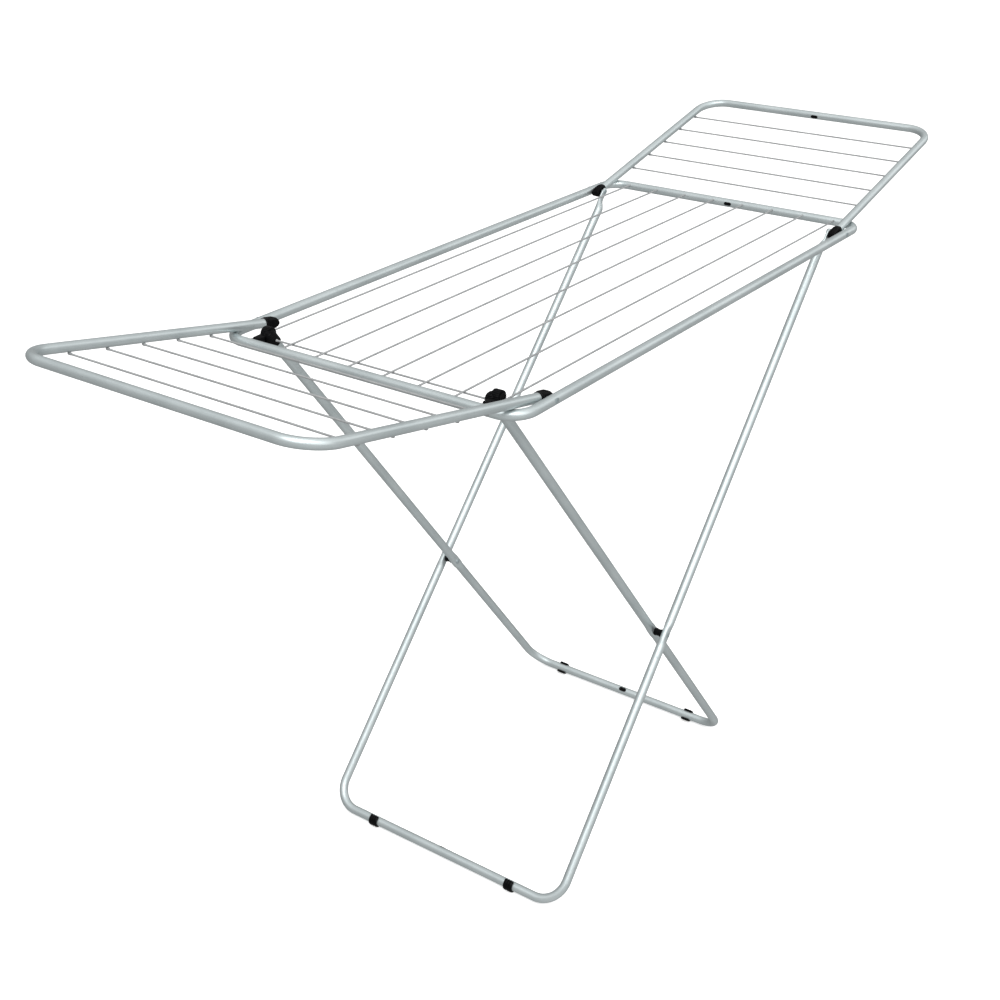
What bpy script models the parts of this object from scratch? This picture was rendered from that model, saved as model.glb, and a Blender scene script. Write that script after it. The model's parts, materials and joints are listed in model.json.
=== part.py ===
"""A folding clothes drying rack with two wings on crossed U-shaped legs.

Run with: blender --background --python part.py
Units are metres and +Z is up.  The rack stands open on its four feet: +X runs along the
rack, the left wing is at -X, and "near" pieces are on the -Y side.
"""

import math

import bmesh
import bpy
from mathutils import Matrix, Vector

# --- Driving dimensions --------------------------------------------------------------
GAP = 0.0003                 # clearance between pieces that touch

TUBE_R = 0.0080              # centre frame and legs
WING_TUBE_R = 0.0075
WIRE_R = 0.00125
FRAME_BEND_R = 0.038         # bend radii are on the centre line
WING_BEND_R = 0.050
LEG_BEND_R = 0.045

FRAME_HALF_LENGTH = 0.5525   # to the centre lines of the two end bars
FRAME_HALF_WIDTH = 0.2700    # to the centre lines of the two side bars
FRAME_Z = 0.9675
FLOOR_BAR_Z = 0.0103         # floor bars stand this high on the feet
PIN_Z = FRAME_Z + 0.0012     # hinge pins pass just above the side bars' centre lines

CENTRE_WIRES = 8
CENTRE_WIRE_PITCH = 0.0632
CENTRE_WIRE_RISE = 0.0030    # wires end a little above the middle of the end bars
TIE_WIRE_X = -0.5200         # cross wire under the lengthwise wires
TIE_WIRE_HALF_LENGTH = 0.1915

WING_WIRES = 5
WING_WIRE_PITCH = 0.0650
WING_FIRST_WIRE = {"left": 0.3845, "right": 0.3885}    # outermost wire, from the hinge pin
WING_ARM_Y = 0.2536
WING_HINGE_X = {"left": -0.4720, "right": 0.4800}
WING_OVERHANG = {"left": 0.3880, "right": 0.3810}   # from the end bar to the outer bar

CAP_FRONT = 0.0130           # hinge pin to the arm's end
CAP_BACK = 0.0160            # hinge pin to the cap's rounded back
CAP_HALF_HEIGHT = 0.0088
CAP_HALF_WIDTH = 0.0078
CAP_BEVEL = 0.0012
SPIGOT_R = 0.0060
SPIGOT_LENGTH = 0.0180
SPIGOT_ROOT = 0.0040         # length of the spigot inside the cap's block
SOCKET_END_GAP = 0.0020

OUTER_LEG_TOP_X = 0.4800     # the outer leg hangs on the right-hand hinge pins
OUTER_LEG_FOOT_X = -0.3960
OUTER_LEG_TOP_Y = 0.2366
OUTER_LEG_FOOT_Y = 0.2458
OUTER_LEG_OVERRUN = 0.0110   # tube past the hinge pin
INNER_LEG_TOP_X = -0.5185    # the inner leg hooks on the left end bar
INNER_LEG_FOOT_X = 0.2256
INNER_LEG_TOP_Y = 0.2050
INNER_LEG_FOOT_Y = 0.2238

HOOK_CAP_R = 0.0106          # domed cap round the inner leg's open end
HOOK_CAP_LENGTH = 0.0260     # from the leg's end to the cap's mouth
HOOK_CAP_ROOF = 0.0030       # from the leg's end to the foot of the dome
HOOK_BORE_R = 0.0083
HOOK_HALF_WIDTH = 0.0080
HOOK_SADDLE_R = 0.0084
HOOK_SADDLE_ARC = (-28.0, 22.0)        # degrees round the end bar, 0 is inward
HOOK_NOSE_ARC = (40.0, 30.0)           # top of the jaw, beside the end bar
HOOK_NOSE_THICKNESS = 0.0032
HOOK_JAW_ROOT = ((-0.0020, 0.0083), (0.0035, -0.0047), (-0.0005, -0.0107))  # from the leg's end
HOOK_BEVEL = 0.0010

PIN_R = 0.0030
PIN_HOLE_R = 0.0033
PIN_HEAD_R = 0.0048
PIN_HEAD_THICKNESS = 0.0014
PIN_HEAD_BEVEL = (0.0014, 0.0008)      # inwards from the rim, and down from the top
PIN_HEAD_GAP = 0.0005
SPACER_R = 0.0070
SPACER_BEVEL = 0.0006
SPACER_END_GAP = 0.0005

FOOT_INNER_R = 0.0083
FOOT_OUTER_R = 0.0108
FOOT_LENGTH = 0.0160
FOOT_Y = 0.1500
FOOT_OPENING_MIDDLE = 40.0   # degrees above the inward direction
FOOT_OPENING_WIDTH = 115.0

PLUG_LENGTH = 0.0140
PLUG_WIDTH = 0.0056
PLUG_DEPTH = 0.0035
PLUG_STAND = 0.0009
PLUG_BEVEL = 0.0004
SLOT_CUT_HEIGHT = 0.0040     # the slot's cutter ends this far outside the tube

TUBE_RESOLUTION = 6          # 16 sides
WIRE_RESOLUTION = 2          # 8 sides
BEND_STEPS = 7
ROUND_SIDES = 20
ARC_STEP = 15.0              # degrees
SHARP_ANGLE = 35.0           # degrees

# --- Sizes that follow ---------------------------------------------------------------
LEG_DROP = PIN_Z - FLOOR_BAR_Z
OUTER_LEG_RUN = OUTER_LEG_TOP_X - OUTER_LEG_FOOT_X
INNER_LEG_RUN = INNER_LEG_FOOT_X - INNER_LEG_TOP_X
OUTER_LEG_LENGTH = math.hypot(OUTER_LEG_RUN, LEG_DROP)
INNER_LEG_LENGTH = math.hypot(INNER_LEG_RUN, LEG_DROP)
OUTER_LEG_SLOPE = math.atan2(LEG_DROP, OUTER_LEG_RUN)
INNER_LEG_SLOPE = math.atan2(LEG_DROP, INNER_LEG_RUN)
CROSSING = (OUTER_LEG_TOP_X - INNER_LEG_TOP_X) / (OUTER_LEG_RUN + INNER_LEG_RUN)
OUTER_TOP_TO_PIVOT = CROSSING * OUTER_LEG_LENGTH
INNER_TOP_TO_PIVOT = CROSSING * INNER_LEG_LENGTH
OUTER_PIVOT_Y = OUTER_LEG_TOP_Y + CROSSING * (OUTER_LEG_FOOT_Y - OUTER_LEG_TOP_Y)
INNER_PIVOT_Y = INNER_LEG_TOP_Y + CROSSING * (INNER_LEG_FOOT_Y - INNER_LEG_TOP_Y)

SILVER = ("silver_paint", (0.60, 0.64, 0.64), 0.34, 0.75)
WIRE_COAT = ("wire_paint", (0.74, 0.75, 0.76), 0.42, 0.55)
BLACK_PLASTIC = ("black_plastic", (0.012, 0.012, 0.014), 0.42, 0.0)
RIVET_STEEL = ("rivet_steel", (0.62, 0.64, 0.65), 0.30, 0.9)


# --- Scene helpers -------------------------------------------------------------------
def clear_scene():
    for old in list(bpy.data.objects):
        bpy.data.objects.remove(old, do_unlink=True)


def new_collection(name):
    collection = bpy.data.collections.new(name)
    bpy.context.scene.collection.children.link(collection)
    return collection


def new_material(name, finish):
    base_name, colour, roughness, metallic = finish
    material = bpy.data.materials.new(f"{name}_{base_name}")
    material.use_nodes = True
    shader = material.node_tree.nodes["Principled BSDF"]
    shader.inputs["Base Color"].default_value = (*colour, 1.0)
    shader.inputs["Roughness"].default_value = roughness
    shader.inputs["Metallic"].default_value = metallic
    return material


def add_object(name, data, collection, parent=None):
    """A new object; without a parent of its own it hangs on the rack's reference empty."""
    parent = parent or bpy.data.objects.get("rack_centre")
    item = bpy.data.objects.new(name, data)
    collection.objects.link(item)
    item.parent = parent
    return item


def add_hinge(name, location, rotation=(0.0, 0.0, 0.0), parent=None):
    """An empty on a joint's axis; the pieces that turn on that joint are its children."""
    empty = add_object(name, None, PARTS, parent)
    empty.location = location
    empty.rotation_euler = rotation
    empty.empty_display_size = 0.03
    return empty


def finish_part(item, finish):
    item.data.materials.append(new_material(item.name, finish))
    if item.type == "MESH":
        item.data.shade_smooth()
        item.data.set_sharp_from_angle(angle=math.radians(SHARP_ANGLE))
    return item


# --- Shape helpers -------------------------------------------------------------------
def bent_path(corners, bend_radius, closed=False):
    """Straight runs between corners, with each inner corner rounded to an arc."""
    corners = [Vector(corner) for corner in corners]
    count = len(corners)
    bends = range(count) if closed else range(1, count - 1)
    points = [] if closed else [corners[0]]
    for index in bends:
        corner = corners[index]
        before = (corners[index - 1] - corner).normalized()
        after = (corners[(index + 1) % count] - corner).normalized()
        half_angle = before.angle(after) / 2
        start = corner + before * bend_radius / math.tan(half_angle)
        centre = corner + (before + after).normalized() * bend_radius / math.sin(half_angle)
        turn_axis = (start - centre).cross(-before)
        turn = math.pi - 2 * half_angle
        for step in range(BEND_STEPS + 1):
            rotation = Matrix.Rotation(turn * step / BEND_STEPS, 3, turn_axis)
            points.append(centre + rotation @ (start - centre))
    if not closed:
        points.append(corners[-1])
    return points


def curve_tube(name, points, radius, resolution, parent=None, closed=False):
    curve = bpy.data.curves.new(name, "CURVE")
    curve.dimensions = "3D"
    curve.bevel_depth = radius
    curve.bevel_resolution = resolution
    curve.use_fill_caps = not closed
    curve.render_resolution_u = 0
    spline = curve.splines.new("POLY")
    spline.points.add(len(points) - 1)
    for spline_point, point in zip(spline.points, points):
        spline_point.co = (*point, 1.0)
    spline.use_cyclic_u = closed
    return add_object(name, curve, PARTS, parent)


def as_mesh(curve_object):
    """The same piece as a welded mesh, which can be drilled."""
    bpy.context.view_layer.update()
    name, parent, place = curve_object.name, curve_object.parent, curve_object.matrix_world.copy()
    collection = curve_object.users_collection[0]
    evaluated = curve_object.evaluated_get(bpy.context.evaluated_depsgraph_get())
    mesh = bpy.data.meshes.new_from_object(evaluated)
    shape = bmesh.new()
    shape.from_mesh(mesh)
    bmesh.ops.remove_doubles(shape, verts=shape.verts, dist=0.00001)
    bmesh.ops.recalc_face_normals(shape, faces=shape.faces)
    shape.to_mesh(mesh)
    shape.free()
    bpy.data.objects.remove(curve_object, do_unlink=True)
    mesh.materials.clear()
    item = add_object(name, mesh, collection, parent)
    item.matrix_world = place
    return item


def cylinder_mesh(name, radius, length, sides=ROUND_SIDES):
    mesh = bpy.data.meshes.new(name)
    shape = bmesh.new()
    bmesh.ops.create_cone(shape, cap_ends=True, segments=sides, radius1=radius,
                          radius2=radius, depth=length)
    shape.to_mesh(mesh)
    shape.free()
    return mesh


def outline_solid(name, outline, half_depth, collection, parent=None):
    """A flat outline in local X and Y, thickened to half_depth each way along local Z."""
    curve = bpy.data.curves.new(name, "CURVE")
    curve.dimensions = "2D"
    curve.fill_mode = "BOTH"
    curve.extrude = half_depth
    curve.render_resolution_u = 0
    spline = curve.splines.new("POLY")
    spline.points.add(len(outline) - 1)
    for spline_point, (along, across) in zip(spline.points, outline):
        spline_point.co = (along, across, 0.0, 1.0)
    spline.use_cyclic_u = True
    return as_mesh(add_object(name, curve, collection, parent))


def turned_solid(name, profile, collection, parent=None):
    """A profile of (radius, height) points, from the top down, turned round local Z."""
    mesh = bpy.data.meshes.new(name)
    mesh.from_pydata([(radius, 0.0, height) for radius, height in profile],
                     [(index, index + 1) for index in range(len(profile) - 1)], [])
    item = add_object(name, mesh, collection, parent)
    screw = item.modifiers.new("turn", "SCREW")
    screw.steps = ROUND_SIDES
    screw.render_steps = ROUND_SIDES
    screw.use_merge_vertices = True
    screw.merge_threshold = 0.00001
    bpy.context.view_layer.update()
    return item


def arc(radius, start_degrees, end_degrees, centre=(0.0, 0.0), step_degrees=ARC_STEP):
    steps = math.ceil(abs(end_degrees - start_degrees) / step_degrees)
    points = []
    for step in range(steps + 1):
        angle = math.radians(start_degrees + (end_degrees - start_degrees) * step / steps)
        points.append((centre[0] + radius * math.cos(angle),
                       centre[1] + radius * math.sin(angle)))
    return points


def combine(item, other, operation):
    """Cut other from item, or join it on; other is kept only as a guide."""
    boolean = item.modifiers.new(other.name, "BOOLEAN")
    boolean.operation = operation
    boolean.object = other
    other.hide_render = True
    other.display_type = "WIRE"


def drill(item, name, location, radius, length, along):
    """A straight hole through item, centred on location, along local X or Y."""
    cutter = add_object(name, cylinder_mesh(name, radius, length), CUTTERS, item.parent)
    cutter.location = location
    cutter.rotation_euler = (0, math.pi / 2, 0) if along == "X" else (math.pi / 2, 0, 0)
    combine(item, cutter, "DIFFERENCE")


def add_pin(name, inner_y, outer_y, location, side, parent=None):
    """A headed rivet along Y through the faces at inner_y and outer_y."""
    head = PIN_HEAD_THICKNESS
    inwards, down = PIN_HEAD_BEVEL
    top = outer_y + PIN_HEAD_GAP + head
    bottom = inner_y - PIN_HEAD_GAP - head
    profile = [(0.0, top), (PIN_HEAD_R - inwards, top), (PIN_HEAD_R, top - down),
               (PIN_HEAD_R, top - head), (PIN_R, top - head), (PIN_R, bottom + head),
               (PIN_HEAD_R, bottom + head), (PIN_HEAD_R, bottom + down),
               (PIN_HEAD_R - inwards, bottom), (0.0, bottom)]
    pin = turned_solid(name, profile, PARTS, parent)
    pin.location = (location[0], 0.0, location[1])
    pin.rotation_euler = (-side * math.pi / 2, 0.0, 0.0)
    finish_part(pin, RIVET_STEEL)


def stadium(length, width):
    """Outline of a slot with round ends, length along local X."""
    reach = (length - width) / 2
    return (arc(width / 2, -90, 90, (reach, 0.0))
            + arc(width / 2, 90, 270, (-reach, 0.0)))


def add_plug(name, tube, centre, facing_degrees, tube_radius):
    """A hole plug on the inner face of a bar along Y, and its slot in the bar.

    facing_degrees is the plug's direction in the local XZ plane, 0 being +X and 90 +Z.
    """
    facing = math.radians(facing_degrees)
    direction = Vector((math.cos(facing), 0.0, math.sin(facing)))
    turn = Matrix((Vector((0, 1, 0)), direction.cross(Vector((0, 1, 0))), direction))
    rotation = turn.transposed().to_euler()
    for part_name, extra, low, high, collection in (
            (name, 0.0, -PLUG_DEPTH, PLUG_STAND, PARTS),
            (name + "_slot", 2 * GAP, -PLUG_DEPTH - GAP, SLOT_CUT_HEIGHT, CUTTERS)):
        outline = stadium(PLUG_LENGTH + extra, PLUG_WIDTH + extra)
        item = outline_solid(part_name, outline, (high - low) / 2, collection, tube.parent)
        item.rotation_euler = rotation
        item.location = Vector(centre) + direction * (tube_radius + (high + low) / 2)
        if collection is CUTTERS:
            combine(tube, item, "DIFFERENCE")
        else:
            edge = item.modifiers.new("edge", "BEVEL")
            edge.width = PLUG_BEVEL
            edge.segments = 1
            finish_part(item, BLACK_PLASTIC)


# --- Centre frame --------------------------------------------------------------------
def build_centre_frame():
    x, y = FRAME_HALF_LENGTH, FRAME_HALF_WIDTH
    corners = [(-x, -y, FRAME_Z), (x, -y, FRAME_Z), (x, y, FRAME_Z), (-x, y, FRAME_Z)]
    path = bent_path(corners, FRAME_BEND_R, closed=True)
    tube = as_mesh(curve_tube("centre_frame_tube", path, TUBE_R, TUBE_RESOLUTION, closed=True))
    for wing, hinge_x in WING_HINGE_X.items():
        for side, where in SIDES:
            drill(tube, f"{wing}_hinge_hole_{where}", (hinge_x, side * y, PIN_Z),
                  PIN_HOLE_R, 4 * TUBE_R, "Y")
    finish_part(tube, SILVER)
    add_plug("left_end_plug", tube, (-x, 0.0, FRAME_Z), 0.0, TUBE_R)
    add_plug("right_end_plug", tube, (x, 0.0, FRAME_Z), 180.0, TUBE_R)


def build_centre_wires():
    lowest = CENTRE_WIRE_RISE - WIRE_R
    reach = FRAME_HALF_LENGTH - math.sqrt(TUBE_R ** 2 - lowest ** 2) - GAP
    height = FRAME_Z + CENTRE_WIRE_RISE
    for index in range(CENTRE_WIRES):
        y = (index - (CENTRE_WIRES - 1) / 2) * CENTRE_WIRE_PITCH
        wire = curve_tube(f"centre_wire_{index + 1}", [(-reach, y, height), (reach, y, height)],
                          WIRE_R, WIRE_RESOLUTION)
        finish_part(wire, WIRE_COAT)
    height -= 2 * WIRE_R + GAP
    half = TIE_WIRE_HALF_LENGTH
    tie = curve_tube("centre_tie_wire", [(TIE_WIRE_X, -half, height), (TIE_WIRE_X, half, height)],
                     WIRE_R, WIRE_RESOLUTION)
    finish_part(tie, WIRE_COAT)


# --- Wings ---------------------------------------------------------------------------
def arm_clearance(pin_x, tilt):
    """Least distance from a tilted arm's axis to the centre line of the frame's corner."""
    arm = Vector((math.cos(tilt), 0.0, math.sin(tilt)))
    pin = Vector((pin_x, WING_ARM_Y, PIN_Z))
    centre = (FRAME_HALF_LENGTH - FRAME_BEND_R, FRAME_HALF_WIDTH - FRAME_BEND_R)
    distances = []
    for x, y in arc(FRAME_BEND_R, 0, 90, centre, step_degrees=0.5):
        offset = Vector((x, y, FRAME_Z)) - pin
        distances.append((offset - arm * offset.dot(arm)).length)
    return min(distances)


def wing_tilt_and_reach(wing):
    """Tilt of a wing whose arms rest on the frame's corners, and hinge pin to outer bar."""
    pin_x = abs(WING_HINGE_X[wing])
    low, high = 0.0, math.radians(30)
    for _ in range(30):
        middle = (low + high) / 2
        if arm_clearance(pin_x, middle) < TUBE_R + WING_TUBE_R + GAP:
            low = middle
        else:
            high = middle
    return high, (FRAME_HALF_LENGTH - pin_x) / math.cos(high) + WING_OVERHANG[wing]


def build_wing(wing):
    tilt, reach = wing_tilt_and_reach(wing)
    heading = math.pi if wing == "left" else 0.0
    hinge = add_hinge(f"{wing}_wing_hinge", (WING_HINGE_X[wing], 0.0, PIN_Z),
                      (0.0, -tilt, heading))
    corners = [(CAP_FRONT, -WING_ARM_Y, 0.0), (reach, -WING_ARM_Y, 0.0),
               (reach, WING_ARM_Y, 0.0), (CAP_FRONT, WING_ARM_Y, 0.0)]
    path = bent_path(corners, WING_BEND_R)
    tube = as_mesh(curve_tube(f"{wing}_wing_tube", path, WING_TUBE_R, TUBE_RESOLUTION, hinge))
    for side, where in SIDES:
        local_side = -side if wing == "left" else side
        arm_y = local_side * WING_ARM_Y
        drill(tube, f"{wing}_wing_socket_{where}", (CAP_FRONT, arm_y, 0.0),
              SPIGOT_R + GAP, 2 * (SPIGOT_LENGTH + SOCKET_END_GAP), "X")
        build_wing_cap(f"{wing}_wing_cap_{where}", arm_y, hinge)
    finish_part(tube, SILVER)
    add_plug(f"{wing}_wing_plug", tube, (reach, 0.0, 0.0), 180.0, WING_TUBE_R)

    # The wires run under the arms, from one arm's axis to the other's.
    depth = WING_TUBE_R + WIRE_R + GAP
    for index in range(WING_WIRES):
        x = WING_FIRST_WIRE[wing] - index * WING_WIRE_PITCH
        ends = [(x, -WING_ARM_Y, -depth), (x, WING_ARM_Y, -depth)]
        wire = curve_tube(f"{wing}_wing_wire_{index + 1}", ends, WIRE_R, WIRE_RESOLUTION, hinge)
        finish_part(wire, WIRE_COAT)


def build_wing_cap(name, arm_y, hinge):
    """A block on the hinge pin whose spigot fills the arm's open end."""
    front = CAP_FRONT - GAP
    back = CAP_BACK - CAP_HALF_HEIGHT
    outline = ([(front, -CAP_HALF_HEIGHT), (front, CAP_HALF_HEIGHT)]
               + arc(CAP_HALF_HEIGHT, 90, 270, (-back, 0.0)))
    cap = outline_solid(name, outline, CAP_HALF_WIDTH, PARTS, hinge)
    cap.location = (0.0, arm_y, 0.0)
    cap.rotation_euler = (math.pi / 2, 0.0, 0.0)
    edge = cap.modifiers.new("edge", "BEVEL")
    edge.width = CAP_BEVEL
    edge.segments = 2
    edge.limit_method = "ANGLE"

    spigot = add_object(name + "_spigot",
                        cylinder_mesh(name + "_spigot", SPIGOT_R, SPIGOT_LENGTH + SPIGOT_ROOT),
                        CUTTERS, hinge)
    spigot.location = (front + (SPIGOT_LENGTH - SPIGOT_ROOT) / 2, arm_y, 0.0)
    spigot.rotation_euler = (0.0, math.pi / 2, 0.0)
    combine(cap, spigot, "UNION")
    drill(cap, name + "_pin_hole", (0.0, arm_y, 0.0), PIN_HOLE_R, 4 * CAP_HALF_WIDTH, "Y")
    finish_part(cap, BLACK_PLASTIC)


def build_hinge_pins():
    outer_face = FRAME_HALF_WIDTH + TUBE_R
    inner_faces = {"left": WING_ARM_Y - CAP_HALF_WIDTH, "right": OUTER_LEG_TOP_Y - TUBE_R}
    for wing, inner_face in inner_faces.items():
        for side, where in SIDES:
            add_pin(f"{wing}_hinge_pin_{where}", inner_face, outer_face,
                    (WING_HINGE_X[wing], PIN_Z), side)


# --- Legs ----------------------------------------------------------------------------
def build_outer_leg():
    hinge = add_hinge("outer_leg_hinge", (OUTER_LEG_TOP_X, 0.0, PIN_Z),
                      (0.0, math.pi - OUTER_LEG_SLOPE, 0.0))
    splay = (OUTER_LEG_FOOT_Y - OUTER_LEG_TOP_Y) / OUTER_LEG_LENGTH
    top_y = OUTER_LEG_TOP_Y - splay * OUTER_LEG_OVERRUN
    corners = [(-OUTER_LEG_OVERRUN, -top_y, 0.0), (OUTER_LEG_LENGTH, -OUTER_LEG_FOOT_Y, 0.0),
               (OUTER_LEG_LENGTH, OUTER_LEG_FOOT_Y, 0.0), (-OUTER_LEG_OVERRUN, top_y, 0.0)]
    path = bent_path(corners, LEG_BEND_R)
    tube = as_mesh(curve_tube("outer_leg_tube", path, TUBE_R, TUBE_RESOLUTION, hinge))
    for side, where in SIDES:
        drill(tube, f"outer_leg_hinge_hole_{where}", (0.0, side * OUTER_LEG_TOP_Y, 0.0),
              PIN_HOLE_R, 4 * TUBE_R, "Y")
        drill(tube, f"outer_leg_pivot_hole_{where}",
              (OUTER_TOP_TO_PIVOT, side * OUTER_PIVOT_Y, 0.0), PIN_HOLE_R, 4 * TUBE_R, "Y")
        add_pin(f"scissor_pin_{where}", INNER_PIVOT_Y - TUBE_R, OUTER_PIVOT_Y + TUBE_R,
                (OUTER_TOP_TO_PIVOT, 0.0), side, hinge)
        build_scissor_spacer(f"scissor_spacer_{where}", side, hinge)
        build_foot(f"outer_leg_foot_{where}", side, OUTER_LEG_FOOT_X, 1.0, hinge)
    finish_part(tube, SILVER)
    inward = 90.0 + math.degrees(OUTER_LEG_SLOPE) + 90.0
    add_plug("outer_leg_plug", tube, (OUTER_LEG_LENGTH, 0.0, 0.0), inward, TUBE_R)
    return hinge


def build_scissor_spacer(name, side, hinge):
    """A collar on the scissor pin that keeps the two legs apart."""
    low = INNER_PIVOT_Y + TUBE_R + SPACER_END_GAP
    high = OUTER_PIVOT_Y - TUBE_R - SPACER_END_GAP
    bevel = SPACER_BEVEL
    profile = [(PIN_HOLE_R, high), (SPACER_R - bevel, high), (SPACER_R, high - bevel),
               (SPACER_R, low + bevel), (SPACER_R - bevel, low), (PIN_HOLE_R, low),
               (PIN_HOLE_R, high)]
    spacer = turned_solid(name, profile, PARTS, hinge)
    spacer.location = (OUTER_TOP_TO_PIVOT, 0.0, 0.0)
    spacer.rotation_euler = (-side * math.pi / 2, 0.0, 0.0)
    finish_part(spacer, BLACK_PLASTIC)


def build_inner_leg(outer_hinge):
    turn = INNER_LEG_SLOPE + OUTER_LEG_SLOPE - math.pi
    hinge = add_hinge("inner_leg_hinge", (OUTER_TOP_TO_PIVOT, 0.0, 0.0), (0.0, turn, 0.0),
                      outer_hinge)
    top = -INNER_TOP_TO_PIVOT
    foot = INNER_LEG_LENGTH - INNER_TOP_TO_PIVOT
    corners = [(top, -INNER_LEG_TOP_Y, 0.0), (foot, -INNER_LEG_FOOT_Y, 0.0),
               (foot, INNER_LEG_FOOT_Y, 0.0), (top, INNER_LEG_TOP_Y, 0.0)]
    path = bent_path(corners, LEG_BEND_R)
    tube = as_mesh(curve_tube("inner_leg_tube", path, TUBE_R, TUBE_RESOLUTION, hinge))
    for side, where in SIDES:
        drill(tube, f"inner_leg_pivot_hole_{where}", (0.0, side * INNER_PIVOT_Y, 0.0),
              PIN_HOLE_R, 4 * TUBE_R, "Y")
        build_leg_hook(f"inner_leg_hook_{where}", side, hinge)
        build_foot(f"inner_leg_foot_{where}", side, INNER_LEG_FOOT_X, -1.0, hinge)
    finish_part(tube, SILVER)
    inward = 180.0 + math.degrees(INNER_LEG_SLOPE)
    add_plug("inner_leg_plug", tube, (foot, 0.0, 0.0), inward, TUBE_R)


def build_leg_hook(name, side, hinge):
    """A domed cap on the inner leg's open end, with a jaw against the left end bar."""
    y = side * INNER_LEG_TOP_Y
    bar = (-FRAME_HALF_LENGTH, FRAME_Z)
    nose_r = HOOK_SADDLE_R + HOOK_NOSE_THICKNESS
    root = [(INNER_LEG_TOP_X + x, PIN_Z + z) for x, z in HOOK_JAW_ROOT]
    outline = arc(HOOK_SADDLE_R, *HOOK_SADDLE_ARC, bar) + arc(nose_r, *HOOK_NOSE_ARC, bar) + root
    outline.reverse()
    local = [(x, -(z - FRAME_Z)) for x, z in outline]
    hook = outline_solid(name, local, HOOK_HALF_WIDTH, PARTS)
    hook.location = (0.0, y, FRAME_Z)
    hook.rotation_euler = (-math.pi / 2, 0.0, 0.0)
    edge = hook.modifiers.new("edge", "BEVEL")
    edge.width = HOOK_BEVEL
    edge.segments = 1
    edge.limit_method = "ANGLE"

    top = Vector((INNER_LEG_TOP_X, y, PIN_Z))
    bottom = Vector((INNER_LEG_FOOT_X, side * INNER_LEG_FOOT_Y, FLOOR_BAR_Z))
    up_leg = (Matrix.Translation(top)
              @ (top - bottom).to_track_quat("Z", "Y").to_matrix().to_4x4())
    dome = [(radius, height) for radius, height in
            reversed(arc(HOOK_CAP_R, 0, 90, (0.0, HOOK_CAP_ROOF)))]
    dome[0] = (0.0, HOOK_CAP_ROOF + HOOK_CAP_R)
    profile = dome + [(HOOK_CAP_R, -HOOK_CAP_LENGTH), (0.0, -HOOK_CAP_LENGTH)]
    cap = turned_solid(name + "_cap", profile, CUTTERS)
    cap.matrix_local = up_leg
    combine(hook, cap, "UNION")
    depth = 2 * HOOK_CAP_LENGTH
    bore = add_object(name + "_bore", cylinder_mesh(name + "_bore", HOOK_BORE_R, depth), CUTTERS)
    bore.matrix_local = up_leg @ Matrix.Translation((0.0, 0.0, GAP - depth / 2))
    combine(hook, bore, "DIFFERENCE")
    keep_place(hook, hinge)
    finish_part(hook, BLACK_PLASTIC)


def keep_place(item, parent):
    """Hang item on parent without moving it."""
    bpy.context.view_layer.update()
    place = item.matrix_world.copy()
    item.parent = parent
    item.matrix_world = place


def build_foot(name, side, bar_x, inward, hinge):
    """A snap-on clip round a floor bar, open towards the rack's middle, with a flat sole."""
    start = FOOT_OPENING_MIDDLE + FOOT_OPENING_WIDTH / 2
    end = FOOT_OPENING_MIDDLE - FOOT_OPENING_WIDTH / 2 + 360.0
    outline = arc(FOOT_OUTER_R, start, end) + arc(FOOT_INNER_R, end, start)
    outline = [(inward * x, max(z, -FLOOR_BAR_Z)) for x, z in outline]
    foot = outline_solid(name, [(x, -z) for x, z in outline], FOOT_LENGTH / 2, PARTS)
    foot.location = (bar_x, side * FOOT_Y, FLOOR_BAR_Z)
    foot.rotation_euler = (-math.pi / 2, 0.0, 0.0)
    keep_place(foot, hinge)
    finish_part(foot, BLACK_PLASTIC)


def wing_tip(wing):
    """How far the outer face of a wing's outer bar is from the frame's middle."""
    tilt, reach = wing_tilt_and_reach(wing)
    return abs(WING_HINGE_X[wing]) + reach * math.cos(tilt) + WING_TUBE_R


clear_scene()
SIDES = ((-1, "near"), (1, "far"))
PARTS = new_collection("clothes_drying_rack")
CUTTERS = new_collection("cutters")
CUTTERS.hide_render = True

# The origin is on the floor under the middle of the whole rack, wings included, so the
# centre frame's middle is a little to one side of it.
rack_centre = add_object("rack_centre", None, PARTS)
rack_centre.location.x = (wing_tip("left") - wing_tip("right")) / 2
bpy.context.view_layer.update()

build_centre_frame()
build_centre_wires()
for wing_name in ("left", "right"):
    build_wing(wing_name)
build_hinge_pins()
outer_leg_hinge = build_outer_leg()
build_inner_leg(outer_leg_hinge)
bpy.context.view_layer.update()
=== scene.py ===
"""Looks of the folding clothes drying rack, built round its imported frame.

Every tube, wire and fitting of the frame is replaced by a finer piece in the same place.
Lengths are in metres; X runs along the rack, Y across it and Z up.
"""
import json
import math

import bmesh
import bpy
from mathutils import Matrix, Vector


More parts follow.
